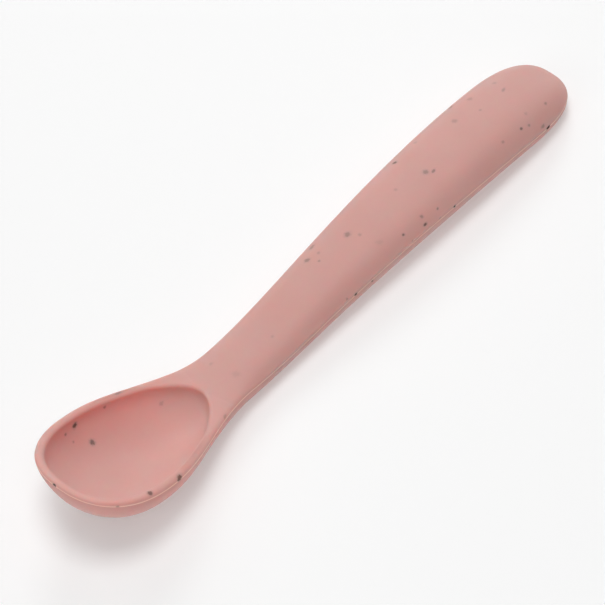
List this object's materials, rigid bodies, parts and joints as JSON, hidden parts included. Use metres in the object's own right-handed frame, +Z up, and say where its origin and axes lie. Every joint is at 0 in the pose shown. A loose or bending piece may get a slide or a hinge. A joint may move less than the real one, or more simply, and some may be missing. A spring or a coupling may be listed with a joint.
{
  "type": "baby spoon",
  "caption": "Soft moulded baby feeding spoon with a deep teardrop bowl, a rounded rim and a broad arched handle over a stiff inner core.",
  "frame": {"origin": "on the surface the spoon lies on, halfway along its length and on its middle plane", "axes": "+X along the spoon from the bowl's tip to the handle's end, +Z up out of the bowl, Y across the spoon"},
  "size_m": [0.14, 0.0262, 0.0184],
  "materials": {
    "silicone": "satin dusty pink silicone with sparse dark flecks",
    "core_nylon": "natural moulded nylon"
  },
  "bodies": {
    "root": {"silicone_body": "silicone", "stiffening_core": "core_nylon"}
  },
  "joints": []
}
